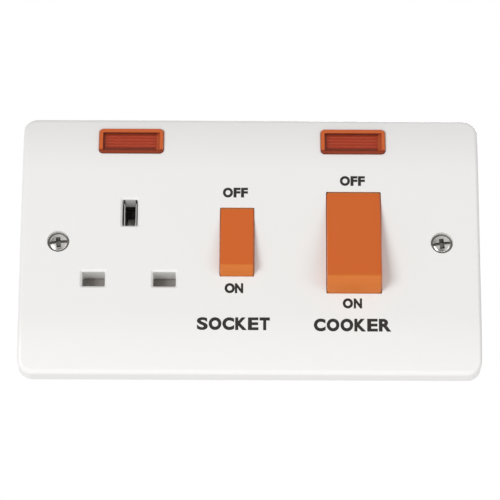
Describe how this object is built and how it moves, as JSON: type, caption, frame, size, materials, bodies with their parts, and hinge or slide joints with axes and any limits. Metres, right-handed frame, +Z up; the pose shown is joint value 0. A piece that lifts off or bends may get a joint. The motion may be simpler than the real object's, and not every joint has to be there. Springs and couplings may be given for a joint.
{
  "type": "cooker control unit",
  "caption": "Wall-mounted cooker control unit: white plate with a wide cooker switch, a shuttered switched socket, orange rockers, neon indicator lenses and cable terminals behind",
  "frame": {"origin": "centre of the plate on the wall plane, midway between the two fixing screws", "axes": "+X to the right seen from the front, +Y back into the wall, +Z up"},
  "size_m": [0.1446, 0.0374, 0.0854],
  "materials": {
    "white_moulding": "white moulded plastic, semi-gloss",
    "base_moulding": "off-white moulded plastic",
    "shutter_plastic": "pale grey moulded plastic",
    "orange_plastic": "orange moulded plastic, semi-gloss",
    "lens_plastic": "translucent red-orange lens",
    "plated_steel": "nickel plated",
    "zinc_steel": "zinc plated",
    "spring_steel": "drawn wire",
    "brass": "rolled and stamped",
    "lamp_glass": "clear glass",
    "resistor_body": "lacquered",
    "live_lead": "brown insulation",
    "neutral_lead": "blue insulation",
    "plunger_plastic": "natural nylon"
  },
  "bodies": {
    "unit": {"base_screws": "zinc_steel", "carrier_screws": "zinc_steel", "cooker_neon_holder": "base_moulding", "cooker_neon_lamp": "lamp_glass", "cooker_neon_lens": "lens_plastic", "cooker_neon_live_lead": "live_lead", "cooker_neon_neutral_lead": "neutral_lead", "cooker_neon_resistor": "resistor_body", "earth_bar": "brass", "earth_contact": "brass", "earth_terminal_screws": "zinc_steel", "fixing_screws": "plated_steel", "front_plate": "white_moulding", "left_earth_terminal": "brass", "live_load_bar": "brass", "live_load_terminal": "brass", "live_socket_contact": "brass", "live_supply_bar": "brass", "live_supply_terminal": "brass", "live_switch_link": "brass", "neutral_link": "brass", "neutral_load_bar": "brass", "neutral_load_terminal": "brass", "neutral_socket_contact": "brass", "neutral_supply_bar": "brass", "neutral_supply_terminal": "brass", "power_terminal_screws": "zinc_steel", "rear_base": "base_moulding", "right_earth_terminal": "brass", "shutter_carrier": "base_moulding", "shutter_spring": "spring_steel", "socket_neon_holder": "base_moulding", "socket_neon_lamp": "lamp_glass", "socket_neon_lens": "lens_plastic", "socket_neon_live_lead": "live_lead", "socket_neon_neutral_lead": "neutral_lead", "socket_neon_resistor": "resistor_body"},
    "socket_rocker": {"socket_rocker": "orange_plastic", "socket_plunger_spring": "spring_steel"},
    "cooker_rocker": {"cooker_rocker": "orange_plastic", "cooker_live_plunger_spring": "spring_steel", "cooker_neutral_plunger_spring": "spring_steel"},
    "socket_plunger": {"socket_plunger": "plunger_plastic"},
    "cooker_live_plunger": {"cooker_live_plunger": "plunger_plastic"},
    "cooker_neutral_plunger": {"cooker_neutral_plunger": "plunger_plastic"},
    "socket_moving_contact": {"socket_moving_contact": "brass"},
    "cooker_live_moving_contact": {"cooker_live_moving_contact": "brass"},
    "cooker_neutral_moving_contact": {"cooker_neutral_moving_contact": "brass"},
    "shutter": {"safety_shutter": "shutter_plastic"}
  },
  "joints": [
    {"name": "socket_rocker_turn", "type": "hinge", "parent": "unit", "child": "socket_rocker", "pos_m": [-0.0041, -0.0045, 0], "axis": [1, 0, 0], "range_deg": [0, 20]},
    {"name": "cooker_rocker_turn", "type": "hinge", "parent": "unit", "child": "cooker_rocker", "pos_m": [0.0326, -0.0045, 0], "axis": [1, 0, 0], "range_deg": [0, 24]},
    {"name": "socket_plunger_slide", "type": "slide", "parent": "socket_rocker", "child": "socket_plunger", "axis": [0, -0.9848, 0.1736], "range_m": [0, 0.0007], "stiffness_N_per_m": 300, "springref_m": -0.003, "deforming": ["socket_plunger_spring"]},
    {"name": "cooker_live_plunger_slide", "type": "slide", "parent": "cooker_rocker", "child": "cooker_live_plunger", "axis": [0, -0.9781, 0.2079], "range_m": [0, 0.0007], "stiffness_N_per_m": 300, "springref_m": -0.003, "deforming": ["cooker_live_plunger_spring"]},
    {"name": "cooker_neutral_plunger_slide", "type": "slide", "parent": "cooker_rocker", "child": "cooker_neutral_plunger", "axis": [0, -0.9781, 0.2079], "range_m": [0, 0.0007], "stiffness_N_per_m": 300, "springref_m": -0.003, "deforming": ["cooker_neutral_plunger_spring"]},
    {"name": "socket_contact_rock", "type": "hinge", "parent": "unit", "child": "socket_moving_contact", "pos_m": [-0.0041, 0.01278, 0], "axis": [1, 0, 0], "range_deg": [-16, 0]},
    {"name": "cooker_live_contact_rock", "type": "hinge", "parent": "unit", "child": "cooker_live_moving_contact", "pos_m": [0.02835, 0.01339, 0], "axis": [1, 0, 0], "range_deg": [-16, 0]},
    {"name": "cooker_neutral_contact_rock", "type": "hinge", "parent": "unit", "child": "cooker_neutral_moving_contact", "pos_m": [0.03685, 0.01339, 0], "axis": [1, 0, 0], "range_deg": [-16, 0]},
    {"name": "shutter_slide", "type": "slide", "parent": "unit", "child": "shutter", "axis": [0, 0, -1], "range_m": [0, 0.0064], "stiffness_N_per_m": 60, "springref_m": -0.006, "deforming": ["shutter_spring"]}
  ],
  "couplings": [
    {"joint": "socket_contact_rock", "follows": "socket_rocker_turn", "ratio": -0.8},
    {"joint": "cooker_live_contact_rock", "follows": "cooker_rocker_turn", "ratio": -0.66667},
    {"joint": "cooker_neutral_contact_rock", "follows": "cooker_rocker_turn", "ratio": -0.66667}
  ]
}
